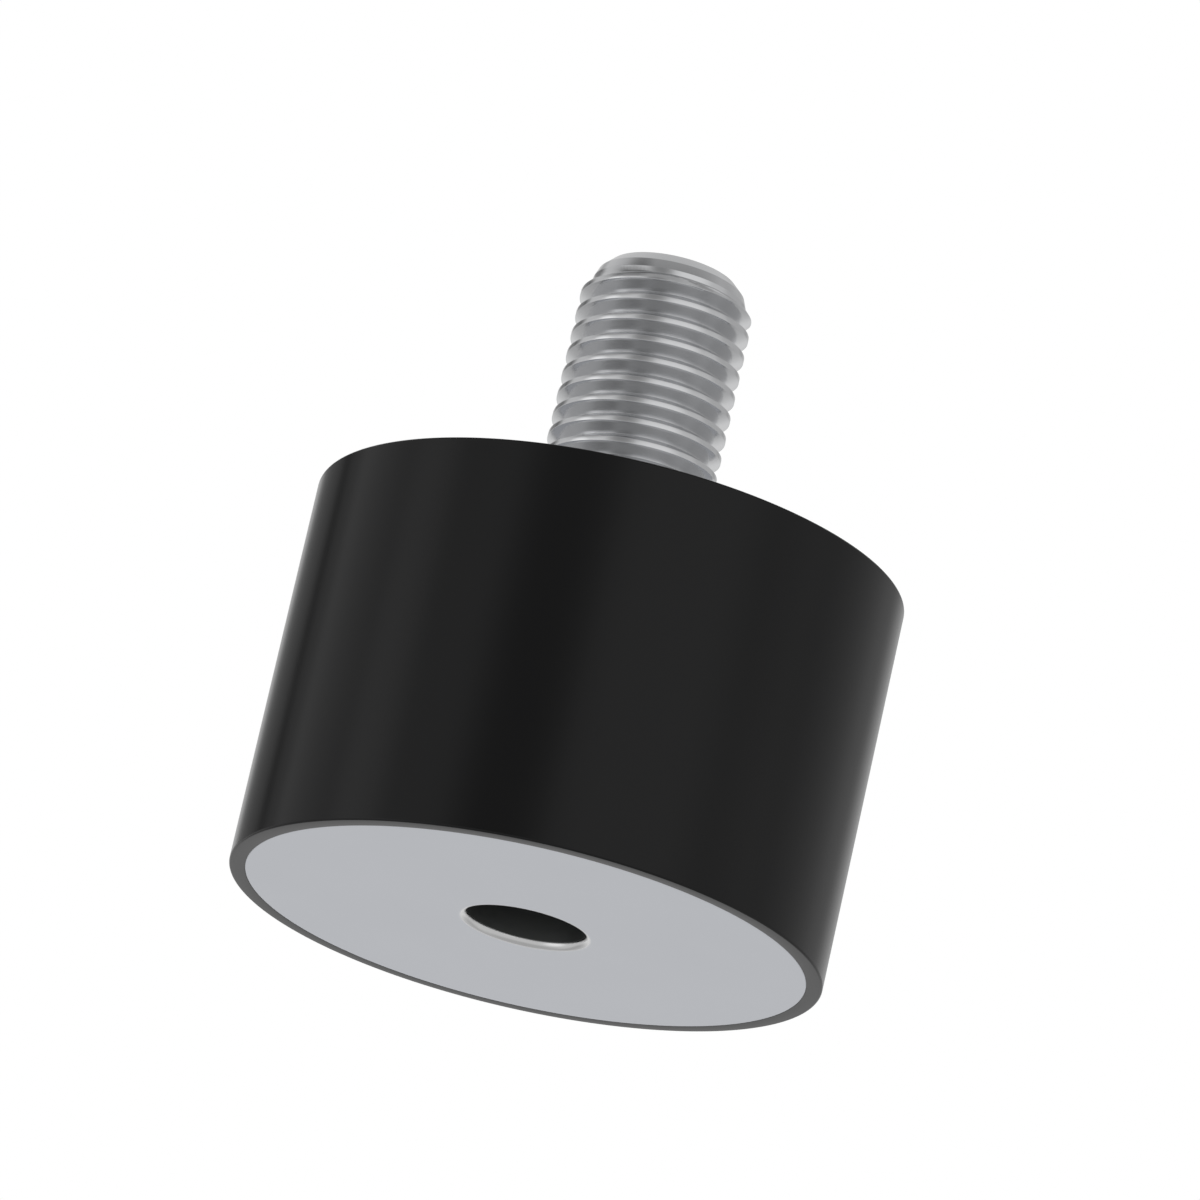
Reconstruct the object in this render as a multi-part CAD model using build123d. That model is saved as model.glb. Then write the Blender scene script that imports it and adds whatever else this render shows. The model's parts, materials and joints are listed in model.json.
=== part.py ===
from build123d import *
import math
import os

# Cylindrical rubber sandwich mount, with a tapped hole in its bottom end and a threaded stud on its top end.
# Rubber is bonded to a steel disc at each end and wraps the edge of the disc in a thin skin.
# The origin is the centre of the bottom end face, and +Z runs along the axis towards the stud's point.
# All sizes are in millimetres.

# Rubber body
BODY_DIAMETER = 34.0
BODY_HEIGHT = 22.7
RUBBER_SKIN = 0.93

# Steel end discs, let into the ends of the rubber and flush with it
HOLE_PLATE_THICKNESS = 2.0
STUD_PLATE_THICKNESS = 2.0
PLATE_EDGE_CHAMFER = 0.4

# Tapped hole, M8, drawn at the diameter of its tapping drill
HOLE_DIAMETER = 6.8
HOLE_DEPTH = 8.5
HOLE_LIP_RADIUS = 0.42
DRILL_POINT_ANGLE = 118.0

# Blind bush behind the bottom disc, which carries most of the thread
BUSH_WALL = 2.9
BUSH_FLOOR = 1.2
BUSH_EDGE_CHAMFER = 0.5

# Stud, M10, measured over the crests of its thread
STUD_DIAMETER = 9.95
STUD_LENGTH = 17.0

# Thread of the stud, as rings with the section and the spacing of the real helix, and plain at its foot
THREAD_PITCH = 1.25
THREAD_CREST = 0.3
THREAD_ANGLE = 60.0
THREAD_FOOT = 1.25

# Plain point of the stud, which steps in from the thread, runs straight, tapers and ends in a chamfer
POINT_LENGTH = 1.45
POINT_STEP = 0.5
POINT_LAND = 0.3
POINT_TAPER = 0.21
POINT_CHAMFER = 0.6

# Plain collar of the stud, which passes up into the top disc and ends flush with it
COLLAR_DIAMETER = 10.6
COLLAR_CLEARANCE = 0.05

# Head of the stud, flat against the back of the top disc
HEAD_OVERHANG = 3.3
HEAD_THICKNESS = 2.5
HEAD_EDGE_CHAMFER = 0.5

# Radii that follow from the sizes above
BODY_RADIUS = BODY_DIAMETER / 2
PLATE_RADIUS = BODY_RADIUS - RUBBER_SKIN
HOLE_RADIUS = HOLE_DIAMETER / 2
BUSH_RADIUS = HOLE_RADIUS + BUSH_WALL
STUD_RADIUS = STUD_DIAMETER / 2
COLLAR_RADIUS = COLLAR_DIAMETER / 2
COLLAR_SEAT_RADIUS = COLLAR_RADIUS + COLLAR_CLEARANCE
HEAD_RADIUS = COLLAR_RADIUS + HEAD_OVERHANG

# Thread of the stud: the slope of its flanks from square, and the groove between two crests
FLANK_SLOPE = math.tan(math.radians(THREAD_ANGLE / 2))
GROOVE_WIDTH = THREAD_PITCH - THREAD_CREST
GROOVE_RADIUS = STUD_RADIUS - GROOVE_WIDTH / 2 / FLANK_SLOPE

# Heights that follow from the sizes above
DRILL_POINT_DEPTH = HOLE_RADIUS / math.tan(math.radians(DRILL_POINT_ANGLE / 2))
HOLE_END = HOLE_DEPTH + DRILL_POINT_DEPTH
BUSH_END = HOLE_END + BUSH_FLOOR
STUD_PLATE_BACK = BODY_HEIGHT - STUD_PLATE_THICKNESS
HEAD_BACK = STUD_PLATE_BACK - HEAD_THICKNESS
STUD_TIP = BODY_HEIGHT + STUD_LENGTH
POINT_BASE = STUD_TIP - POINT_LENGTH
THREAD_END = POINT_BASE - POINT_STEP * FLANK_SLOPE

UPRIGHT = (Align.CENTER, Align.CENTER, Align.MIN)


def round_bar(radius, bottom, top):
    """Plain cylinder on the axis of the mount, between two heights."""
    return Pos(0, 0, bottom) * Cylinder(radius, top - bottom, align=UPRIGHT)


def turned(outline):
    """Solid turned about the axis of the mount from an outline of radius and height points."""
    half_section = make_face(Plane.XZ * Polyline(*outline, close=True))
    return revolve(half_section, axis=Axis.Z)


def rim(solid, radius, height):
    """Circular edges of a solid at one radius and height."""
    circles = solid.edges().filter_by(GeomType.CIRCLE)
    level = circles.filter_by(lambda edge: math.isclose(edge.arc_center.Z, height, abs_tol=1e-6))
    return level.filter_by(lambda edge: math.isclose(edge.radius, radius, abs_tol=1e-6))


def hole_plate_blank():
    """Bottom disc before its hole is cut. Its buried edge is broken, so that it can't cut the rubber."""
    disc = round_bar(PLATE_RADIUS, 0, HOLE_PLATE_THICKNESS)
    return chamfer(rim(disc, PLATE_RADIUS, HOLE_PLATE_THICKNESS), PLATE_EDGE_CHAMFER)


def bush_blank():
    """Bush before its hole is cut, seated on the back of the bottom disc."""
    bush = round_bar(BUSH_RADIUS, HOLE_PLATE_THICKNESS, BUSH_END)
    return chamfer(rim(bush, BUSH_RADIUS, BUSH_END), BUSH_EDGE_CHAMFER)


def stud_plate_blank():
    """Top disc before the seat of the collar is cut, with its buried edge broken like the other one."""
    disc = round_bar(PLATE_RADIUS, STUD_PLATE_BACK, BODY_HEIGHT)
    return chamfer(rim(disc, PLATE_RADIUS, STUD_PLATE_BACK), PLATE_EDGE_CHAMFER)


def head_blank():
    """Flat round head of the stud, seated on the back of the top disc."""
    head = round_bar(HEAD_RADIUS, HEAD_BACK, STUD_PLATE_BACK)
    return chamfer(rim(head, HEAD_RADIUS, HEAD_BACK), HEAD_EDGE_CHAMFER)


def tapped_hole():
    """Space of the blind hole: a lip of two bevels round an arc, a straight wall, and a drill's cone."""
    middle_of_lip = HOLE_LIP_RADIUS * (1 - math.sqrt(0.5))
    outline = [
        (0, 0),
        (HOLE_RADIUS + HOLE_LIP_RADIUS, 0),
        (HOLE_RADIUS + middle_of_lip, middle_of_lip),
        (HOLE_RADIUS, HOLE_LIP_RADIUS),
        (HOLE_RADIUS, HOLE_DEPTH),
        (0, HOLE_END),
    ]
    return turned(outline)


def hole_plate():
    """Bottom disc with the lip of the hole at its outer face."""
    return hole_plate_blank() - tapped_hole()


def tapped_bush():
    """Blind bush, welded behind the bottom disc in line with its hole."""
    return bush_blank() - tapped_hole()


def stud_plate():
    """Top disc, with the hole that the stud passes through and its collar seats in."""
    return stud_plate_blank() - round_bar(COLLAR_SEAT_RADIUS, STUD_PLATE_BACK, BODY_HEIGHT)


def thread_outline():
    """Outline of the thread, with its grooves spaced down from the last crest to the plain foot."""
    grooves = math.floor((THREAD_END - BODY_HEIGHT - THREAD_FOOT) / THREAD_PITCH)
    points = [(STUD_RADIUS, BODY_HEIGHT)]
    for number in range(grooves, 0, -1):
        bottom = THREAD_END - number * THREAD_PITCH
        points.append((STUD_RADIUS, bottom))
        points.append((GROOVE_RADIUS, bottom + GROOVE_WIDTH / 2))
        points.append((STUD_RADIUS, bottom + GROOVE_WIDTH))
    points.append((STUD_RADIUS, THREAD_END))
    return points


def point_outline():
    """Outline of the stud's point, from its step to its end face."""
    base_radius = STUD_RADIUS - POINT_STEP
    nose_radius = base_radius - POINT_TAPER
    return [
        (base_radius, POINT_BASE),
        (base_radius, POINT_BASE + POINT_LAND),
        (nose_radius, STUD_TIP - POINT_CHAMFER),
        (nose_radius - POINT_CHAMFER, STUD_TIP),
    ]


def threaded_shank():
    """Threaded part of the stud above the top disc, turned from its outline."""
    return turned([(0, BODY_HEIGHT), *thread_outline(), *point_outline(), (0, STUD_TIP)])


def threaded_stud():
    """Stud with its thread and point, a collar that fills its seat in the top disc, and a head."""
    collar = round_bar(COLLAR_RADIUS, STUD_PLATE_BACK, BODY_HEIGHT)
    return head_blank() + collar + threaded_shank()


def rubber_body():
    """Moulded rubber, bonded round both discs, the bush and the head of the stud."""
    block = round_bar(BODY_RADIUS, 0, BODY_HEIGHT)
    return block - hole_plate_blank() - bush_blank() - stud_plate_blank() - head_blank()


PIECES = {
    "rubber_body": rubber_body,
    "hole_plate": hole_plate,
    "tapped_bush": tapped_bush,
    "stud_plate": stud_plate,
    "threaded_stud": threaded_stud,
}

os.makedirs("parts", exist_ok=True)
for name, make_piece in PIECES.items():
    export_step(make_piece(), f"parts/{name}.step")
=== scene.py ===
"""Dress a cylindrical rubber sandwich mount in Blender.

The mount stands on its tapped end with its stud up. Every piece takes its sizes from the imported
frame, is made with bmesh operators, and is given a procedural finish. Lengths are in metres.
"""

from __future__ import annotations

import json
import logging
import math
from collections.abc import Callable
from dataclasses import dataclass
from enum import Enum

import bmesh
import bpy
from bmesh.types import BMesh
from bpy.types import Material, NodeSocket
from mathutils import Matrix, Vector

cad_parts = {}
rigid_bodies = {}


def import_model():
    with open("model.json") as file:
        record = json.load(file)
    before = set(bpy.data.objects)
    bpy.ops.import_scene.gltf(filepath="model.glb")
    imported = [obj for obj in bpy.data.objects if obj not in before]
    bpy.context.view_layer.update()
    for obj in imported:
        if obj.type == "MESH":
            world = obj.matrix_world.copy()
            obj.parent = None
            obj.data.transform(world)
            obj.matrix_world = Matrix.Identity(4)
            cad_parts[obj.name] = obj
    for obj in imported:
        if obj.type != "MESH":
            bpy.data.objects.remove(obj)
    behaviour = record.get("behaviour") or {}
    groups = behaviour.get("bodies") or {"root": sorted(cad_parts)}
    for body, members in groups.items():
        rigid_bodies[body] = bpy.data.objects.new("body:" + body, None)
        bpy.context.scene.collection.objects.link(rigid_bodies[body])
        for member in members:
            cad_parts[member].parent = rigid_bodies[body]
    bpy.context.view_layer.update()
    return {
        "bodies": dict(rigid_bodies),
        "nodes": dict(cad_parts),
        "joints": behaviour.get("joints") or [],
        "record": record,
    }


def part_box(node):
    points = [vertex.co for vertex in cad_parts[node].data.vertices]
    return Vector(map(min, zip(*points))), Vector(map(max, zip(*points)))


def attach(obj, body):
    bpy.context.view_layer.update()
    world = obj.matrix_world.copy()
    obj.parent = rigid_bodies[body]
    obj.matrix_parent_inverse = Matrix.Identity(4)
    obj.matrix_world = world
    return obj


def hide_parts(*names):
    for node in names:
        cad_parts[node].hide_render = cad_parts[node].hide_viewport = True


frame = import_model()

LOG = logging.getLogger("sandwich_mount")

Colour = tuple[float, float, float]

MM = 0.001
FULL_TURN = 2 * math.pi
ORIGIN = (0.0, 0.0, 0.0)
UPWARD = (0.0, 0.0, 1.0)
WHITE = (1.0, 1.0, 1.0, 1.0)

# Points nearer than this become one, and an open ring may stray this far from its height
MERGE_DISTANCE = 1e-7
RING_REACH = 1e-6

# Height that is left open where a threaded wall meets a plain one, and is then bridged
SEAM_GAP = 20e-6

# Edges that bend by more than this are drawn sharp
SHARP_ANGLE = math.radians(28)

# Angle between the two flanks of a groove, and how far a flank rises as it goes in
THREAD_ANGLE = 60
FLANK_SLOPE = math.tan(math.radians(THREAD_ANGLE / 2))
THREAD_PITCH = 1.25 * MM

# Share of a turn from the side where a thread's outline is drawn to the front of the mount
FRONT_TURN = 0.75

# Point angle of the drill that leaves the cone at the end of the hole
DRILL_ANGLE = 118

# Numbers of the colour sockets of a mix node, which share their names with its other sockets
MIX_FACTOR, MIX_FIRST, MIX_SECOND, MIX_RESULT = 0, 6, 7, 2


class Slot(Enum):
    """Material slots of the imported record."""

    RUBBER = "rubber"
    DISC = "disc_steel"
    BUSH = "bush_steel"
    STUD = "stud_steel"


class ThreadSide(Enum):
    """Which way a groove is cut from its plain wall, as the sign of its depth."""

    OUTSIDE = -1
    INSIDE = 1


# Shader maths


@dataclass(frozen=True)
class Signal:
    """A number carried by a shader socket, with the arithmetic of Python.

    Args:
        bench: The bench whose node tree the socket belongs to.
        socket: The output socket that carries the number.
    """

    bench: Bench
    socket: NodeSocket

    def _maths(self, operation: str, first: object, second: object = 0.0) -> Signal:
        """Result of a Math node, by its operation and its one or two numbers."""
        node_inputs = {0: first, 1: second}
        return self.bench.number("ShaderNodeMath", {"operation": operation}, node_inputs)

    def __add__(self, other: Signal | float) -> Signal:
        """Sum of this and another number."""
        return self._maths("ADD", self, other)

    __radd__ = __add__

    def __sub__(self, other: Signal | float) -> Signal:
        """This number less another."""
        return self._maths("SUBTRACT", self, other)

    def __rsub__(self, other: float) -> Signal:
        """Another number less this one."""
        return self._maths("SUBTRACT", other, self)

    def __mul__(self, other: Signal | float) -> Signal:
        """Product of this and another number."""
        return self._maths("MULTIPLY", self, other)

    __rmul__ = __mul__

    def __truediv__(self, other: Signal | float) -> Signal:
        """This number divided by another."""
        return self._maths("DIVIDE", self, other)

    def __rtruediv__(self, other: float) -> Signal:
        """Another number divided by this one."""
        return self._maths("DIVIDE", other, self)

    def clipped(self) -> Signal:
        """This number held between 0 and 1."""
        return self._maths("MINIMUM", self._maths("MAXIMUM", self, 0.0), 1.0)

    def size(self) -> Signal:
        """This number without its sign."""
        return self._maths("ABSOLUTE", self)

    def around(self, middle: float, spread: float) -> Signal:
        """This number, which runs from 0 to 1, made to run as far to both sides of a middle."""
        return middle + (self - 0.5) * (2 * spread)


class Bench:
    """Node tree of one material or world, with one way of adding a node.

    Args:
        tree: The node tree to fill. What it held before is removed.
    """

    def __init__(self, tree: bpy.types.NodeTree) -> None:
        """Take over a node tree and empty it."""
        self.tree = tree
        tree.nodes.clear()

    def node(
        self,
        kind: str,
        settings: dict[str, object] | None = None,
        inputs: dict[str | int, object] | None = None,
        output: str | int = 0,
    ) -> NodeSocket | None:
        """Add a node.

        Args:
            kind: Blender's name for the type of node.
            settings: Properties of the node, set before its sockets.
            inputs: Values or links of its input sockets, by name or by number.
            output: Name or number of the output socket to return.

        Returns:
            The output socket asked for, or None where the node has no outputs.
        """
        made = self.tree.nodes.new(kind)
        for name, value in (settings or {}).items():
            setattr(made, name, value)
        for key, value in (inputs or {}).items():
            self._feed(made.inputs[key], value)
        return made.outputs[output] if len(made.outputs) else None

    def number(self, *args: object, **kwargs: object) -> Signal:
        """Add a node like `node` does, and wrap its output for arithmetic."""
        return Signal(self, self.node(*args, **kwargs))

    def _feed(self, socket: NodeSocket, value: object) -> None:
        """Link an input socket, or set its value.

        Args:
            socket: The input socket.
            value: A signal or an output socket to link it to, or else its value.
        """
        source = value.socket if isinstance(value, Signal) else value
        if isinstance(source, NodeSocket):
            self.tree.links.new(source, socket)
        else:
            socket.default_value = source

    def blend(self, share: Signal, first: object, second: object) -> NodeSocket:
        """Mix of two colours, with the share of the second one from 0 to 1."""
        inputs = {MIX_FACTOR: share, MIX_FIRST: first, MIX_SECOND: second}
        return self.node("ShaderNodeMix", {"data_type": "RGBA"}, inputs, output=MIX_RESULT)

    def noise(self, place: NodeSocket, scale: float, detail: float) -> Signal:
        """Cloudy pattern from 0 to 1, by its clouds to the metre and layers of finer clouds."""
        inputs = {"Vector": place, "Scale": scale, "Detail": detail}
        return self.number("ShaderNodeTexNoise", inputs=inputs)

    def part(self, vector: NodeSocket, axis: str) -> Signal:
        """One part of a vector, by the name of its axis."""
        return self.number("ShaderNodeSeparateXYZ", inputs={"Vector": vector}, output=axis)

    def length(self, vector: NodeSocket) -> Signal:
        """Length of a vector."""
        settings = {"operation": "LENGTH"}
        return self.number("ShaderNodeVectorMath", settings, {0: vector}, output="Value")

    def seen(self) -> Signal:
        """Whether it is the camera that looks, as 1 or 0."""
        return self.number("ShaderNodeLightPath", output="Is Camera Ray")

    def surface(self, inputs: dict[str, object], grain: Signal, grain_depth: float) -> None:
        """Add the surface of a material, with its grain.

        Args:
            inputs: Values or links of the surface's sockets.
            grain: Pattern of its grain, from 0 to 1.
            grain_depth: Depth of the grain.
        """
        relief = {"Height": grain, "Distance": grain_depth, "Strength": 1.0}
        bump = self.node("ShaderNodeBump", inputs=relief)
        skin = self.node("ShaderNodeBsdfPrincipled", inputs={**inputs, "Normal": bump})
        self.node("ShaderNodeOutputMaterial", inputs={"Surface": skin})


def new_material(name: str) -> tuple[Material, Bench]:
    """Make an empty node material.

    Args:
        name: Name of the material.

    Returns:
        The material and the bench that fills its node tree.
    """
    material = bpy.data.materials.new(name)
    material.use_nodes = True
    return material, Bench(material.node_tree)


def opaque(colour: Colour) -> tuple[float, float, float, float]:
    """Colour as a shader socket takes it."""
    return (*colour, 1.0)


# Finishes


@dataclass(frozen=True)
class RubberFinish:
    """Smooth moulded black rubber with a soft sheen and a faint grain, duller on its end faces.

    Args:
        colour: Darker colour of its patches.
        bloom: Lighter colour of its patches.
        shine: Strength of its sheen.
        roughness: Roughness of its side.
        roughness_spread: How much the roughness varies from patch to patch.
        end_roughness: Roughness of its end faces.
        end_fade: Distance from an end face over which its side turns as dull.
        patch_scale: Patches to the metre.
        patch_detail: Layers of finer patches.
        grain_scale: Grains to the metre.
        grain_detail: Layers of finer grain.
        grain_depth: Depth of the grain.
    """

    colour: Colour = (0.0052, 0.0052, 0.0054)
    bloom: Colour = (0.0076, 0.0076, 0.0078)
    shine: float = 0.19
    roughness: float = 0.18
    roughness_spread: float = 0.03
    end_roughness: float = 0.30
    end_fade: float = 0.12 * MM
    patch_scale: float = 90.0
    patch_detail: float = 4.0
    grain_scale: float = 3800.0
    grain_detail: float = 2.0
    grain_depth: float = 0.0000015

    def material(self, height: float) -> Material:
        """Build the material.

        Args:
            height: Height of the rubber, between its end faces.

        Returns:
            The material.
        """
        material, bench = new_material("moulded_rubber")
        place = bench.node("ShaderNodeTexCoord", output="Object")
        patches = bench.noise(place, self.patch_scale, self.patch_detail)
        grain = bench.noise(place, self.grain_scale, self.grain_detail)
        from_middle = (bench.part(place, "Z") - height / 2).size()
        ends = ((from_middle - height / 2) / self.end_fade + 1.0).clipped()
        roughness = patches.around(self.roughness, self.roughness_spread)
        roughness = roughness + ends * (self.end_roughness - self.roughness)
        inputs = {
            "Base Color": bench.blend(patches, opaque(self.colour), opaque(self.bloom)),
            "Roughness": roughness,
            "Specular IOR Level": self.shine,
        }
        bench.surface(inputs, grain, self.grain_depth)
        return material


@dataclass(frozen=True)
class HoleShade:
    """Polished lip of a hole in a steel piece, and the hole's wall coloured near black as painted
    shade.

    Args:
        lip_reach: Radius where the lip meets the face round the hole.
        wall_start: Height where the lip ends and the wall starts.
        lip_colour: Colour of the lip.
        lip_roughness: Roughness of the lip.
        wall_painted_shade: Near-black colour painted on the wall, as painted shade for the dark
            inside of the hole.
        wall_roughness: Roughness of the wall.
        lip_fade: Distance over which the finish of the face turns into that of the lip.
        wall_fade: Distance over which the finish of the lip turns into that of the wall.
    """

    lip_reach: float
    wall_start: float
    lip_colour: Colour = (0.67, 0.67, 0.67)
    lip_roughness: float = 0.20
    # Painted shade: near-black colour that stands in for the shade deep inside the hole
    wall_painted_shade: Colour = (0.115, 0.120, 0.118)
    wall_roughness: float = 0.50
    lip_fade: float = 0.15 * MM
    wall_fade: float = 0.04 * MM

    def shares(self, bench: Bench, place: NodeSocket) -> tuple[Signal, Signal]:
        """Find where the lip and the wall are.

        Args:
            bench: Bench of the material.
            place: Object coordinates.

        Returns:
            How much of the lip's and of the wall's finish there is, each from 0 to 1.
        """
        flat_inputs = {0: place, 1: (1.0, 1.0, 0.0)}
        flat = bench.node("ShaderNodeVectorMath", {"operation": "MULTIPLY"}, flat_inputs)
        lip = ((self.lip_reach - bench.length(flat)) / self.lip_fade).clipped()
        above = (bench.part(place, "Z") - self.wall_start) / self.wall_fade
        # Painted shade: share of the near-black wall colour, which also gives the wall its
        # roughness
        wall = lip * (above + 1.0).clipped()
        return lip, wall


@dataclass(frozen=True)
class SteelFinish:
    """Steel with a grain: blasted, turned or plated, as its values say.

    Args:
        name: Name of its material.
        colour: Lighter colour of its clouds.
        shade: Darker colour of its clouds.
        roughness: Roughness between the smoothest and the roughest clouds.
        roughness_spread: How much the roughness varies from cloud to cloud.
        cloud_scale: Clouds to the metre.
        grain_scale: Grains to the metre.
        grain_depth: Depth of the grain.
        metallic: How far it is bare metal.
        cloud_detail: Layers of finer clouds.
        grain_detail: Layers of finer grain.
    """

    name: str
    colour: Colour
    shade: Colour
    roughness: float
    roughness_spread: float
    cloud_scale: float
    grain_scale: float
    grain_depth: float
    metallic: float = 1.0
    cloud_detail: float = 5.0
    grain_detail: float = 3.0

    def material(self, hole: HoleShade | None = None) -> Material:
        """Build the material.

        Args:
            hole: Finish of a hole in the piece, with the shade painted on its wall, where it has
                one.

        Returns:
            The material.
        """
        material, bench = new_material(self.name)
        place = bench.node("ShaderNodeTexCoord", output="Object")
        clouds = bench.noise(place, self.cloud_scale, self.cloud_detail)
        grain = bench.noise(place, self.grain_scale, self.grain_detail)
        colour = bench.blend(clouds, opaque(self.shade), opaque(self.colour))
        roughness = clouds.around(self.roughness, self.roughness_spread)
        if hole:
            lip, wall = hole.shares(bench, place)
            colour = bench.blend(lip, colour, opaque(hole.lip_colour))
            # Painted shade: the wall of the hole is coloured near black for the shade deep inside
            # it
            colour = bench.blend(wall, colour, opaque(hole.wall_painted_shade))
            roughness = roughness + lip * (hole.lip_roughness - self.roughness)
            roughness = roughness + wall * (hole.wall_roughness - hole.lip_roughness)
        inputs = {"Base Color": colour, "Metallic": self.metallic, "Roughness": roughness}
        bench.surface(inputs, grain, self.grain_depth)
        return material


BLASTED_DISC = SteelFinish(
    name="blasted_disc_steel",
    colour=(0.69, 0.705, 0.74),
    shade=(0.67, 0.685, 0.72),
    roughness=0.55,
    roughness_spread=0.04,
    cloud_scale=160.0,
    grain_scale=9000.0,
    grain_depth=0.000002,
)

TURNED_BUSH = SteelFinish(
    name="turned_bush_steel",
    colour=(0.30, 0.30, 0.31),
    shade=(0.22, 0.22, 0.225),
    roughness=0.45,
    roughness_spread=0.05,
    cloud_scale=400.0,
    grain_scale=9000.0,
    grain_depth=0.000002,
)

PLATED_STUD = SteelFinish(
    name="plated_stud_steel",
    colour=(0.64, 0.645, 0.655),
    shade=(0.58, 0.585, 0.595),
    roughness=0.18,
    roughness_spread=0.03,
    cloud_scale=500.0,
    grain_scale=7000.0,
    grain_depth=0.0000015,
)


# Turned shapes


@dataclass(frozen=True)
class Corner:
    """Corner of a turned outline.

    Args:
        radius: Distance from the axis.
        height: Height along the axis.
        rounding: Radius that breaks the corner, or 0 for a sharp one.
    """

    radius: float
    height: float
    rounding: float = 0.0


@dataclass(frozen=True)
class Lathe:
    """Turns outlines about the axis of the mount.

    Args:
        steps: Facets in one full turn.
        rounding_segments: Facets across each rounded corner.
    """

    steps: int = 256
    rounding_segments: int = 8

    def outline(self, corners: list[Corner], closed: bool = False) -> BMesh:
        """Draw an outline in the XZ plane and round its corners.

        Args:
            corners: The corners in order.
            closed: Whether the last corner joins the first.

        Returns:
            A bmesh of edges only.
        """
        shape = bmesh.new()
        points = [shape.verts.new((corner.radius, 0.0, corner.height)) for corner in corners]
        ends = points[1:] + points[:1] if closed else points[1:]
        for start, end in zip(points, ends):
            shape.edges.new((start, end))
        for point, corner in zip(points, corners):
            if corner.rounding > 0:
                self._round(shape, point, corner.rounding)
        return shape

    def _round(self, shape: BMesh, point: bmesh.types.BMVert, radius: float) -> None:
        """Round one corner of an outline.

        Args:
            shape: The outline.
            point: Its corner.
            radius: Radius of the arc that takes the corner's place.
        """
        arms = [edge.other_vert(point).co - point.co for edge in point.link_edges]
        half_angle = arms[0].angle(arms[1]) / 2
        bmesh.ops.bevel(
            shape,
            geom=[point],
            offset=radius / math.tan(half_angle),
            offset_type="OFFSET",
            segments=self.rounding_segments,
            profile=0.5,
            affect="VERTICES",
            material=-1,
        )

    def spin(self, shape: BMesh, rise: float = 0.0) -> None:
        """Spin an outline once round the axis.

        Args:
            shape: The outline, which becomes the surface that it sweeps.
            rise: How far it climbs in that turn. Without a climb, the surface closes on itself.
        """
        bmesh.ops.spin(
            shape,
            geom=shape.verts[:] + shape.edges[:],
            cent=ORIGIN,
            axis=UPWARD,
            dvec=(0.0, 0.0, rise / self.steps),
            angle=FULL_TURN,
            steps=self.steps,
            use_merge=not rise,
        )

    def turn(self, corners: list[Corner], closed: bool = False) -> BMesh:
        """Turn an outline once round the axis.

        Args:
            corners: The corners of the outline in order.
            closed: Whether the last corner joins the first.

        Returns:
            The turned surface. It is open where an outline that isn't closed ends off the axis.
        """
        shape = self.outline(corners, closed)
        self.spin(shape)
        bmesh.ops.remove_doubles(shape, verts=shape.verts[:], dist=MERGE_DISTANCE)
        return shape


@dataclass(frozen=True)
class Thread:
    """Right-hand thread with sixty degree flanks.

    Args:
        wall_radius: Radius of the plain wall that the groove is cut from, left as its crests.
        crest_flat: Width of the crest.
        side: Whether it is on a shank or in a hole.
        crest_rounding: Radius that breaks the edges of the crest.
        root_rounding: Radius in the root of the groove.
        front_crest: Height where the middle of a crest passes the front of the mount.
        pitch: Rise in one turn.
        lathe: How finely it is cut.
        flank_cuts: Extra rows across each straight stretch.
    """

    wall_radius: float
    crest_flat: float
    side: ThreadSide
    crest_rounding: float
    root_rounding: float
    front_crest: float = 0.0
    pitch: float = THREAD_PITCH
    lathe: Lathe = Lathe(steps=128, rounding_segments=3)
    flank_cuts: int = 5

    @property
    def depth(self) -> float:
        """Depth of the groove before its root is rounded."""
        return (self.pitch - self.crest_flat) / 2 / FLANK_SLOPE

    def _one_pitch(self, height: float) -> BMesh:
        """Draw the outline of one pitch, from the middle of a crest to that of the next.

        Args:
            height: Height where it starts.

        Returns:
            A bmesh of edges only.
        """
        half_crest = self.crest_flat / 2
        root = self.wall_radius + self.side.value * self.depth
        corners = [
            Corner(self.wall_radius, height),
            Corner(self.wall_radius, height + half_crest, self.crest_rounding),
            Corner(root, height + self.pitch / 2, self.root_rounding),
            Corner(self.wall_radius, height + self.pitch - half_crest, self.crest_rounding),
            Corner(self.wall_radius, height + self.pitch),
        ]
        shape = self.lathe.outline(corners)
        flanks = [edge for edge in shape.edges if edge.calc_length() > self.depth / 2]
        bmesh.ops.subdivide_edges(shape, edges=flanks, cuts=self.flank_cuts)
        return shape

    def _turns(self, bottom: float, count: int) -> BMesh:
        """Wind the outline into a helix, one turn at a time.

        Args:
            bottom: Height where the first turn starts.
            count: How many turns it has.

        Returns:
            The threaded surface, whose ends still follow the helix.
        """
        first = self._one_pitch(bottom)
        self.lathe.spin(first, rise=self.pitch)
        one_turn = bpy.data.meshes.new("one_turn")
        first.to_mesh(one_turn)
        first.free()
        shape = bmesh.new()
        for _ in range(count):
            shape.from_mesh(one_turn)
            one_turn.transform(Matrix.Translation((0.0, 0.0, self.pitch)))
        bpy.data.meshes.remove(one_turn)
        bmesh.ops.remove_doubles(shape, verts=shape.verts[:], dist=MERGE_DISTANCE)
        return shape

    def wall(self, bottom: float, top: float, limit: Callable[[float, float], float]) -> BMesh:
        """Cut a threaded wall between two heights.

        Args:
            bottom: Height where the wall starts.
            top: Height where it ends.
            limit: Gives the radius of a point from its radius on the full thread and its
                height, for run-outs and points.

        Returns:
            The threaded surface, open at both ends.
        """
        start = self.front_crest - FRONT_TURN * self.pitch
        start -= math.ceil((start - bottom) / self.pitch + 1) * self.pitch
        shape = self._turns(start, math.ceil((top - start) / self.pitch))
        cut_off(shape, bottom, keep_above=True)
        cut_off(shape, top, keep_above=False)
        for point in shape.verts:
            radius = math.hypot(point.co.x, point.co.y)
            share = limit(radius, point.co.z) / radius
            point.co.x *= share
            point.co.y *= share
        return shape


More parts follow.
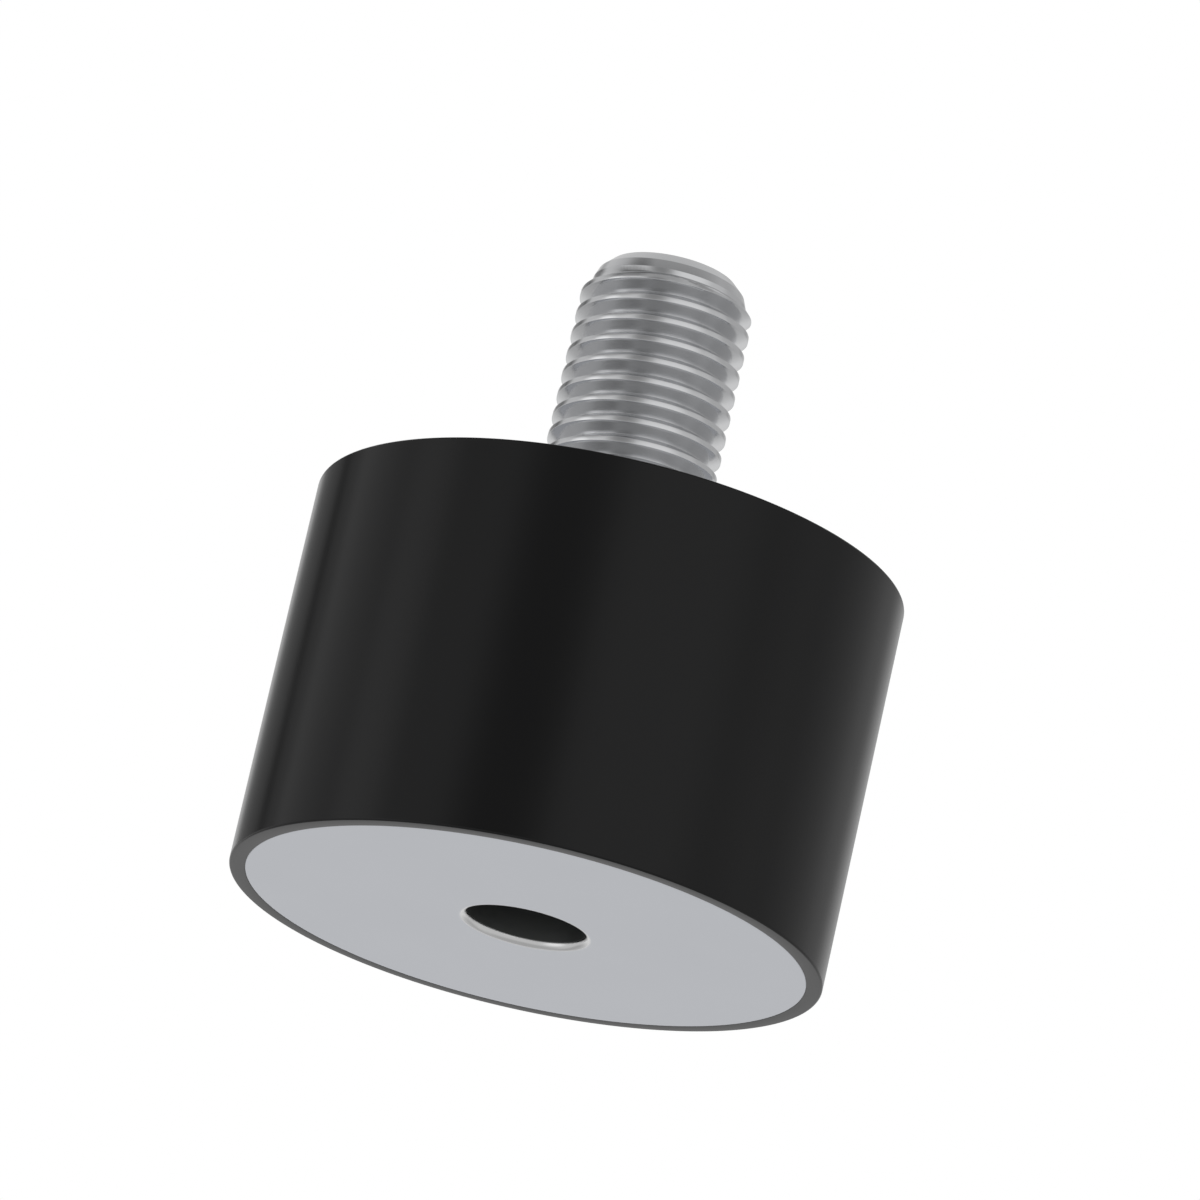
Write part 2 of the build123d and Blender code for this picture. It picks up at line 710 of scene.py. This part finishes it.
def cut_off(shape: BMesh, height: float, keep_above: bool) -> None:
    """Cut a surface level at a height and drop what is past the cut.

    Args:
        shape: The surface to cut.
        height: Height of the cut.
        keep_above: Whether the part above the cut stays, or the part below it.
    """
    bmesh.ops.bisect_plane(
        shape,
        geom=shape.verts[:] + shape.edges[:] + shape.faces[:],
        dist=MERGE_DISTANCE,
        plane_co=(0.0, 0.0, height),
        plane_no=UPWARD,
        clear_outer=not keep_above,
        clear_inner=keep_above,
    )


def add_shape(target: BMesh, source: BMesh) -> None:
    """Move the surface of one bmesh into another.

    Args:
        target: The bmesh that grows.
        source: The bmesh that is emptied and freed.
    """
    carrier = bpy.data.meshes.new("carrier")
    source.to_mesh(carrier)
    source.free()
    target.from_mesh(carrier)
    bpy.data.meshes.remove(carrier)


def join_rings(shape: BMesh, bottom: float, top: float) -> None:
    """Bridge two open rings of a surface.

    Args:
        shape: The surface.
        bottom: Height of the lower ring.
        top: Height of the upper ring.
    """
    low, high = bottom - RING_REACH, top + RING_REACH
    rings = [
        edge
        for edge in shape.edges
        if edge.is_boundary and all(low < point.co.z < high for point in edge.verts)
    ]
    bmesh.ops.bridge_loops(shape, edges=rings)


# Pieces of the mount


@dataclass(frozen=True)
class MountSizes:
    """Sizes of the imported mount, which its visual pieces share.

    Args:
        body_radius: Radius of the rubber.
        body_height: Height of the rubber, between its two end faces.
        disc_radius: Radius of both end discs.
        disc_thickness: Thickness of both end discs.
        hole_radius: Radius of the wall of the tapped hole.
        lip_radius: Radius of the rounded lip of the hole.
        hole_depth: Depth of the full hole.
        bush_radius: Outer radius of the bush.
        bush_end: Height of the closed end of the bush.
        head_radius: Radius of the buried head of the stud.
        head_back: Height of the back of that head.
        collar_seat: Radius of the bore of the top disc, which the stud's collar sits in.
        stud_radius: Radius of the crests of the stud's thread.
        thread_end: Height where the last crest of that thread ends.
        stud_tip: Height of the stud's end face.
    """

    body_radius: float
    body_height: float
    disc_radius: float
    disc_thickness: float
    hole_radius: float
    lip_radius: float
    hole_depth: float
    bush_radius: float
    bush_end: float
    head_radius: float
    head_back: float
    collar_seat: float
    stud_radius: float
    thread_end: float
    stud_tip: float

    @classmethod
    def of_frame(cls, frame: dict[str, object]) -> MountSizes:
        """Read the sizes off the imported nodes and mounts.

        Args:
            frame: The loaded frame.

        Returns:
            The sizes in metres.
        """
        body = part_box("rubber_body")[1]
        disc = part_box("hole_plate")[1]
        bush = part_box("tapped_bush")[1]
        stud_low, stud_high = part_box("threaded_stud")
        top_disc = frame["nodes"]["stud_plate"].data
        mounts = {mount["name"]: mount for mount in frame["record"]["mounts"]}
        hole, stud = mounts["tapped_hole"], mounts["stud"]
        lip = hole["pos_m"][2]
        return cls(
            body_radius=body.x,
            body_height=body.z,
            disc_radius=disc.x,
            disc_thickness=disc.z,
            hole_radius=hole["dims"]["r_mm"] * MM,
            lip_radius=lip,
            hole_depth=lip + hole["dims"]["length_mm"] * MM,
            bush_radius=bush.x,
            bush_end=bush.z,
            head_radius=stud_high.x,
            head_back=stud_low.z,
            collar_seat=min(point.co.xy.length for point in top_disc.vertices),
            stud_radius=stud["dims"]["r_mm"] * MM,
            thread_end=stud["pos_m"][2] + stud["dims"]["length_mm"] * MM,
            stud_tip=stud_high.z,
        )


def place_piece(
    shape: BMesh, name: str, node: str, material: Material
) -> bpy.types.Object:
    """Make a finished piece of a closed surface and put it in the frame.

    Args:
        shape: The closed surface, which is freed.
        name: Name of the piece.
        node: CAD node that it stands for.
        material: Its finish.

    Returns:
        The piece.
    """
    bmesh.ops.recalc_face_normals(shape, faces=shape.faces[:])
    for face in shape.faces:
        face.smooth = True
    for edge in shape.edges:
        edge.smooth = edge.calc_face_angle(math.pi) < SHARP_ANGLE
    open_edges = sum(not edge.is_manifold for edge in shape.edges)
    if open_edges:
        LOG.warning("%s has %d open edges", name, open_edges)
    mesh = bpy.data.meshes.new(name)
    shape.to_mesh(mesh)
    shape.free()
    mesh.materials.append(material)
    piece = bpy.data.objects.new(name, mesh)
    bpy.context.scene.collection.objects.link(piece)
    evened = piece.modifiers.new("flat_faces", "WEIGHTED_NORMAL")
    evened.keep_sharp = True
    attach(piece, "root")
    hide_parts(node)
    return piece


@dataclass(frozen=True)
class RubberBody:
    """Moulded rubber round the discs, the bush and the head of the stud.

    Args:
        sizes: Sizes of the mount.
        rim_rounding: Radius of the outer rims.
        seam_rounding: Radius of the rubber's edge where it meets a disc.
        disc_chamfer: Chamfer of the buried edges of the discs.
        insert_chamfer: Chamfer of the buried edges of the bush and the head.
        lathe: How finely it is turned.
        finish: Its finish.
    """

    sizes: MountSizes
    rim_rounding: float = 0.12 * MM
    seam_rounding: float = 0.03 * MM
    disc_chamfer: float = 0.4 * MM
    insert_chamfer: float = 0.5 * MM
    lathe: Lathe = Lathe(steps=320)
    finish: RubberFinish = RubberFinish()

    def build(self) -> bpy.types.Object:
        """Build the rubber.

        Returns:
            The piece.
        """
        size = self.sizes
        disc_front = size.body_height - size.disc_thickness
        chamfer, wide = self.disc_chamfer, self.insert_chamfer
        corners = [
            Corner(0.0, size.bush_end),
            Corner(size.bush_radius - wide, size.bush_end),
            Corner(size.bush_radius, size.bush_end - wide),
            Corner(size.bush_radius, size.disc_thickness),
            Corner(size.disc_radius - chamfer, size.disc_thickness),
            Corner(size.disc_radius, size.disc_thickness - chamfer),
            Corner(size.disc_radius, 0.0, self.seam_rounding),
            Corner(size.body_radius, 0.0, self.rim_rounding),
            Corner(size.body_radius, size.body_height, self.rim_rounding),
            Corner(size.disc_radius, size.body_height, self.seam_rounding),
            Corner(size.disc_radius, disc_front + chamfer),
            Corner(size.disc_radius - chamfer, disc_front),
            Corner(size.head_radius, disc_front),
            Corner(size.head_radius, size.head_back + wide),
            Corner(size.head_radius - wide, size.head_back),
            Corner(0.0, size.head_back),
        ]
        shape = self.lathe.turn(corners)
        material = self.finish.material(size.body_height)
        return place_piece(shape, "moulded_rubber", "rubber_body", material)


@dataclass(frozen=True)
class TappedHole:
    """Bottom disc and the bush behind it, which share the tapped hole.

    Args:
        sizes: Sizes of the mount.
        crest_flat: Width of the crest of the hole's thread.
        crest_rounding: Radius that breaks the edges of that crest.
        root_rounding: Radius in the root of the groove.
        seam_rounding: Radius of the disc's outer edge, at the seam with the rubber.
        disc_chamfer: Chamfer of the disc's buried edge.
        bush_chamfer: Chamfer of the bush's buried edge.
        plain_start: Depth in the bush before the first cut of the thread.
        plain_end: Height of the plain wall before the drilled cone.
        lead_in: How fast the thread deepens at both ends, for its height.
        drill_slope: Rise of the drilled cone at the closed end, for its radius.
        disc_finish: Finish of the disc.
        bush_finish: Finish of the bush.
    """

    sizes: MountSizes
    crest_flat: float = 0.31 * MM
    crest_rounding: float = 0.04 * MM
    root_rounding: float = 0.12 * MM
    seam_rounding: float = 0.04 * MM
    disc_chamfer: float = 0.4 * MM
    bush_chamfer: float = 0.5 * MM
    plain_start: float = 0.6 * MM
    plain_end: float = 0.3 * MM
    lead_in: float = 0.8
    drill_slope: float = math.tan(math.radians(90 - DRILL_ANGLE / 2))
    disc_finish: SteelFinish = BLASTED_DISC
    bush_finish: SteelFinish = TURNED_BUSH

    def _shade(self) -> HoleShade:
        """Finish of the hole in both pieces, with the shade painted on its wall."""
        size = self.sizes
        return HoleShade(lip_reach=size.hole_radius + size.lip_radius, wall_start=size.lip_radius)

    def _thread(self) -> Thread:
        """Lay out the thread of the hole.

        Returns:
            The thread.
        """
        return Thread(
            wall_radius=self.sizes.hole_radius,
            crest_flat=self.crest_flat,
            side=ThreadSide.INSIDE,
            crest_rounding=self.crest_rounding,
            root_rounding=self.root_rounding,
        )

    def disc(self) -> bpy.types.Object:
        """Build the bottom disc.

        Returns:
            The piece.
        """
        size = self.sizes
        back = size.disc_thickness
        shape = Lathe().turn(
            [
                Corner(size.hole_radius, back),
                Corner(size.hole_radius, 0.0, size.lip_radius),
                Corner(size.disc_radius, 0.0, self.seam_rounding),
                Corner(size.disc_radius, back - self.disc_chamfer),
                Corner(size.disc_radius - self.disc_chamfer, back),
            ],
            closed=True,
        )
        material = self.disc_finish.material(self._shade())
        return place_piece(shape, "hole_disc", "hole_plate", material)

    def bush(self) -> bpy.types.Object:
        """Build the bush behind the disc, with the thread and the drilled cone.

        Returns:
            The piece.
        """
        size = self.sizes
        front = size.disc_thickness
        first_cut, last_cut = front + self.plain_start, size.hole_depth - self.plain_end

        def limit(radius: float, height: float) -> float:
            """Radius of a point of the wall, which is plain at both ends of the thread."""
            reach = min(height - first_cut, last_cut - height)
            return min(radius, size.hole_radius + max(reach, 0.0) * self.lead_in)

        shape = Lathe().turn(
            [
                Corner(size.hole_radius, first_cut),
                Corner(size.hole_radius, front),
                Corner(size.bush_radius, front),
                Corner(size.bush_radius, size.bush_end - self.bush_chamfer),
                Corner(size.bush_radius - self.bush_chamfer, size.bush_end),
                Corner(0.0, size.bush_end),
            ]
        )
        cone = Lathe().turn(
            [
                Corner(size.hole_radius, last_cut),
                Corner(size.hole_radius, size.hole_depth),
                Corner(0.0, size.hole_depth + size.hole_radius * self.drill_slope),
            ]
        )
        add_shape(shape, self._thread().wall(first_cut + SEAM_GAP, last_cut - SEAM_GAP, limit))
        add_shape(shape, cone)
        join_rings(shape, first_cut, first_cut + SEAM_GAP)
        join_rings(shape, last_cut - SEAM_GAP, last_cut)
        material = self.bush_finish.material(self._shade())
        return place_piece(shape, "threaded_bush", "tapped_bush", material)


@dataclass(frozen=True)
class StudEnd:
    """Top disc and the threaded stud that passes through it.

    Args:
        sizes: Sizes of the mount.
        crest_flat: Width of the crest of the stud's thread.
        crest_rounding: Radius that breaks the edges of that crest.
        root_rounding: Radius in the root of the groove.
        seam_rounding: Radius of the disc's outer edge, at the seam with the rubber.
        seat_rounding: Radius of the disc's inner edge, round the collar.
        disc_chamfer: Chamfer of the disc's buried edge.
        head_chamfer: Chamfer of the buried edge of the stud's head.
        collar_clearance: Gap between the collar and the disc.
        plain_foot: Height of the plain shank below the thread.
        run_out: How fast the thread deepens at both ends, for its height.
        crest_fall: How fast the last crest narrows towards the point, for its height.
        point_length: Length of the plain point above the thread.
        point_step: How far the point steps in from the crests.
        point_land: Length of the point before it tapers.
        point_taper: How much narrower the point gets up to its chamfer.
        point_chamfer: Chamfer at the end of the point.
        point_rounding: Radius that breaks the edges of that chamfer.
        disc_finish: Finish of the disc.
        stud_finish: Finish of the stud.
    """

    sizes: MountSizes
    crest_flat: float = 0.30 * MM
    crest_rounding: float = 0.03 * MM
    root_rounding: float = 0.03 * MM
    seam_rounding: float = 0.04 * MM
    seat_rounding: float = 0.10 * MM
    disc_chamfer: float = 0.4 * MM
    head_chamfer: float = 0.5 * MM
    collar_clearance: float = 0.05 * MM
    plain_foot: float = 1.25 * MM
    run_out: float = 1.5
    crest_fall: float = 0.17
    point_length: float = 1.45 * MM
    point_step: float = 0.5 * MM
    point_land: float = 0.3 * MM
    point_taper: float = 0.21 * MM
    point_chamfer: float = 0.6 * MM
    point_rounding: float = 0.06 * MM
    disc_finish: SteelFinish = BLASTED_DISC
    stud_finish: SteelFinish = PLATED_STUD

    def _thread(self) -> Thread:
        """Lay out the thread of the stud, whose last crest ends at the front of the mount.

        Returns:
            The thread.
        """
        return Thread(
            wall_radius=self.sizes.stud_radius,
            crest_flat=self.crest_flat,
            side=ThreadSide.OUTSIDE,
            crest_rounding=self.crest_rounding,
            root_rounding=self.root_rounding,
            front_crest=self.sizes.thread_end - self.crest_flat / 2,
        )

    def disc(self) -> bpy.types.Object:
        """Build the top disc.

        Returns:
            The piece.
        """
        size = self.sizes
        back = size.body_height - size.disc_thickness
        shape = Lathe().turn(
            [
                Corner(size.collar_seat, back),
                Corner(size.collar_seat, size.body_height, self.seat_rounding),
                Corner(size.disc_radius, size.body_height, self.seam_rounding),
                Corner(size.disc_radius, back + self.disc_chamfer),
                Corner(size.disc_radius - self.disc_chamfer, back),
            ],
            closed=True,
        )
        material = self.disc_finish.material()
        return place_piece(shape, "stud_disc", "stud_plate", material)

    def stud(self) -> bpy.types.Object:
        """Build the stud with its buried head, its collar, its thread and its point.

        Returns:
            The piece.
        """
        size = self.sizes
        back = size.body_height - size.disc_thickness
        collar = size.collar_seat - self.collar_clearance
        foot = size.body_height + self.plain_foot
        base = size.stud_tip - self.point_length
        base_radius = size.stud_radius - self.point_step
        nose_radius = base_radius - self.point_taper

        def limit(radius: float, height: float) -> float:
            """Hold a point inside the shank, which is plain at its foot and steps in at its end.

            Args:
                radius: Radius of the point on the full thread.
                height: Its height.

            Returns:
                The radius that it takes.
            """
            fall = max(height - size.thread_end + self.crest_flat, 0.0) * self.crest_fall
            outside = min(size.stud_radius - fall, base_radius + (base - height) / FLANK_SLOPE)
            deepest = max(min(height - foot, base - height), 0.0) * self.run_out
            return max(min(radius, outside), outside - deepest)

        shape = Lathe().turn(
            [
                Corner(0.0, size.head_back),
                Corner(size.head_radius - self.head_chamfer, size.head_back),
                Corner(size.head_radius, size.head_back + self.head_chamfer),
                Corner(size.head_radius, back),
                Corner(collar, back),
                Corner(collar, size.body_height, self.seat_rounding),
                Corner(size.stud_radius, size.body_height),
                Corner(size.stud_radius, foot),
            ]
        )
        point = Lathe().turn(
            [
                Corner(base_radius, base),
                Corner(base_radius, base + self.point_land, self.point_rounding),
                Corner(nose_radius, size.stud_tip - self.point_chamfer, self.point_rounding),
                Corner(nose_radius - self.point_chamfer, size.stud_tip, self.point_rounding),
                Corner(0.0, size.stud_tip),
            ]
        )
        add_shape(shape, self._thread().wall(foot + SEAM_GAP, base - SEAM_GAP, limit))
        add_shape(shape, point)
        join_rings(shape, foot, foot + SEAM_GAP)
        join_rings(shape, base - SEAM_GAP, base)
        material = self.stud_finish.material()
        return place_piece(shape, "stud", "threaded_stud", material)


# Studio


@dataclass(frozen=True)
class Panel:
    """Soft round patch of the studio's walls that is lighter or darker than the rest.

    Args:
        azimuth: Bearing from the front in degrees, positive to the right.
        elevation: Height above the horizon in degrees.
        half_width: Angle in degrees from its middle to where it ends.
        core: Share of that angle that it fills evenly.
        gain: Light that it adds, or takes away if below 0.
    """

    azimuth: float
    elevation: float
    half_width: float
    core: float
    gain: float

    def direction(self) -> tuple[float, float, float]:
        """Find its middle.

        Returns:
            Unit vector towards it.
        """
        bearing, rise = math.radians(self.azimuth), math.radians(self.elevation)
        across = math.cos(rise)
        return (math.sin(bearing) * across, -math.cos(bearing) * across, math.sin(rise))

    def light(self, bench: Bench, towards: NodeSocket) -> Signal:
        """Light that it adds in a direction.

        Args:
            bench: Bench of the world's node tree.
            towards: The direction.

        Returns:
            The light added.
        """
        outer = math.cos(math.radians(self.half_width))
        inner = math.cos(math.radians(self.half_width * self.core))
        settings, vectors = {"operation": "DOT_PRODUCT"}, {0: towards, 1: self.direction()}
        along = bench.number("ShaderNodeVectorMath", settings, vectors, output="Value")
        return ((along - outer) / (inner - outer)).clipped() * self.gain


@dataclass(frozen=True)
class Studio:
    """Pale floor and soft walls of light round the mount.

    Args:
        level: Light of the walls between the patches.
        belt_rise: Height of the middle of a belt round the front, as the sine of its elevation.
        belt_width: Height from there to where the belt ends.
        belt_wrap: How far the belt reaches round the sides, as the sine of that bearing.
        belt_gain: Light that the belt adds, or takes away if below 0.
        panels: Lighter and darker patches of the walls.
        floor_drop: Distance of the floor below the mount.
        floor_radius: Radius of the floor.
        floor_segments: Sides of the floor's outline.
        fade_start: Distance from the mount where the floor starts to fade into the backdrop.
        fade_end: Distance where it has faded.
        floor_colour: Colour of the floor.
        floor_glow: Share of the backdrop's white that the floor has close to the mount.
    """

    level: float = 0.70
    belt_rise: float = 0.80
    belt_width: float = 0.43
    belt_wrap: float = 0.5
    belt_gain: float = -0.40
    panels: tuple[Panel, ...] = (
        Panel(azimuth=180, elevation=-16, half_width=46, core=0.5, gain=0.14),
        Panel(azimuth=180, elevation=-90, half_width=44, core=0.5, gain=-0.20),
        Panel(azimuth=-146, elevation=18, half_width=17, core=0.6, gain=-0.43),
        Panel(azimuth=-128, elevation=18, half_width=9, core=0.4, gain=-0.38),
        Panel(azimuth=-77, elevation=8, half_width=16, core=0.5, gain=0.48),
        Panel(azimuth=-60, elevation=6, half_width=32, core=0.3, gain=0.14),
        Panel(azimuth=-68, elevation=38, half_width=25, core=0.5, gain=-0.28),
        Panel(azimuth=-90, elevation=32, half_width=16, core=0.4, gain=-0.12),
        Panel(azimuth=-20, elevation=18, half_width=21, core=0.3, gain=-0.38),
        Panel(azimuth=28, elevation=14, half_width=32, core=0.5, gain=0.26),
        Panel(azimuth=118, elevation=18, half_width=34, core=0.7, gain=-0.14),
        Panel(azimuth=160, elevation=18, half_width=25, core=0.6, gain=-0.14),
        Panel(azimuth=-66, elevation=-22, half_width=26, core=0.4, gain=0.36),
        Panel(azimuth=145, elevation=-34, half_width=26, core=0.4, gain=-0.22),
        Panel(azimuth=-145, elevation=-34, half_width=26, core=0.4, gain=-0.26),
    )
    floor_drop: float = 0.05 * MM
    floor_radius: float = 3.0
    floor_segments: int = 96
    fade_start: float = 0.05
    fade_end: float = 0.45
    floor_colour: Colour = (0.90, 0.90, 0.90)
    floor_glow: float = 0.5

    def build(self) -> None:
        """Build the walls of light and the floor."""
        self._build_world()
        self._build_floor()

    def _build_world(self) -> None:
        """Build the walls of light, which the camera sees as a white backdrop."""
        world = bpy.data.worlds.new("studio_walls")
        world.use_nodes = True
        bpy.context.scene.world = world
        bench = Bench(world.node_tree)
        towards = bench.node("ShaderNodeTexCoord", output="Generated")
        front = bench.part(towards, "Y") * -1.0
        off_belt = (bench.part(towards, "Z") - self.belt_rise).size() / self.belt_width
        belt = (1.0 - off_belt).clipped()
        light = belt * (front + self.belt_wrap).clipped() * self.belt_gain + self.level
        for panel in self.panels:
            light = light + panel.light(bench, towards)
        walls = bench.node("ShaderNodeBackground", inputs={"Color": light, "Strength": 1.0})
        backdrop = bench.node("ShaderNodeBackground", inputs={"Color": WHITE, "Strength": 1.0})
        mixed_inputs = {0: bench.seen(), 1: walls, 2: backdrop}
        mixed = bench.node("ShaderNodeMixShader", inputs=mixed_inputs)
        bench.node("ShaderNodeOutputWorld", inputs={"Surface": mixed})

    def _floor_material(self) -> Material:
        """Build the floor's finish, which only the camera sees, and only from above.

        Returns:
            A matte pale material that fades into the backdrop.
        """
        material, bench = new_material("studio_floor")
        place = bench.node("ShaderNodeTexCoord", output="Object")
        fade_length = self.fade_end - self.fade_start
        faded = ((bench.length(place) - self.fade_start) / fade_length).clipped()
        faded = faded * (1.0 - self.floor_glow) + self.floor_glow
        colour = opaque(self.floor_colour)
        matte_inputs = {"Base Color": colour, "Roughness": 1.0, "Specular IOR Level": 0.0}
        matte = bench.node("ShaderNodeBsdfPrincipled", inputs=matte_inputs)
        bright = bench.node("ShaderNodeEmission", inputs={"Color": WHITE, "Strength": 1.0})
        clear = bench.node("ShaderNodeBsdfTransparent")
        floor = bench.node("ShaderNodeMixShader", inputs={0: faded, 1: matte, 2: bright})
        below = bench.number("ShaderNodeNewGeometry", output="Backfacing")
        surface_inputs = {0: bench.seen() * (1.0 - below), 1: clear, 2: floor}
        surface = bench.node("ShaderNodeMixShader", inputs=surface_inputs)
        bench.node("ShaderNodeOutputMaterial", inputs={"Surface": surface})
        return material

    def _build_floor(self) -> None:
        """Build the floor just below the mount."""
        shape = bmesh.new()
        sides, radius = self.floor_segments, self.floor_radius
        bmesh.ops.create_circle(shape, cap_ends=True, segments=sides, radius=radius)
        mesh = bpy.data.meshes.new("studio_floor")
        shape.to_mesh(mesh)
        shape.free()
        mesh.materials.append(self._floor_material())
        floor = bpy.data.objects.new("studio_floor", mesh)
        floor.location = (0.0, 0.0, -self.floor_drop)
        bpy.context.scene.collection.objects.link(floor)


@dataclass(frozen=True)
class PhotoCamera:
    """Camera that sees the mount as the photograph does, from a little below it and rolled.

    Args:
        location: Its place.
        rise: Angle that it looks up by, in degrees.
        roll: Angle that it is rolled by, in degrees.
        lens: Focal length in millimetres.
        sensor: Width of its sensor in millimetres.
        near: Distance where its view starts.
        far: Distance where its view ends.
    """

    location: tuple[float, float, float] = (0.0000072, -0.5326974, -0.1533069)
    rise: float = 18.0034
    roll: float = 12.8456
    lens: float = 296.96
    sensor: float = 36.0
    near: float = 0.01
    far: float = 20.0

    def build(self) -> None:
        """Build the camera and make it the scene's."""
        data = bpy.data.cameras.new("photo_camera")
        data.lens = self.lens
        data.sensor_width = self.sensor
        data.clip_start = self.near
        data.clip_end = self.far
        camera = bpy.data.objects.new("photo_camera", data)
        tilt = Matrix.Rotation(math.radians(90 + self.rise), 4, "X")
        turn = Matrix.Rotation(math.radians(self.roll), 4, "Z")
        camera.matrix_world = Matrix.Translation(Vector(self.location)) @ tilt @ turn
        bpy.context.scene.collection.objects.link(camera)
        bpy.context.scene.camera = camera


def main() -> None:
    """Build the dressed mount, the studio and the camera."""
    logging.basicConfig(level=logging.INFO, format="%(message)s")
    bpy.context.scene.view_settings.view_transform = "Standard"
    sizes = MountSizes.of_frame(frame)
    rubber, hole, stud_end = RubberBody(sizes), TappedHole(sizes), StudEnd(sizes)
    for build in (rubber.build, hole.disc, hole.bush, stud_end.disc, stud_end.stud):
        piece = build()
        LOG.info("%s has %d faces", piece.name, len(piece.data.polygons))
    Studio().build()
    PhotoCamera().build()


if __name__ == "__main__":
    main()
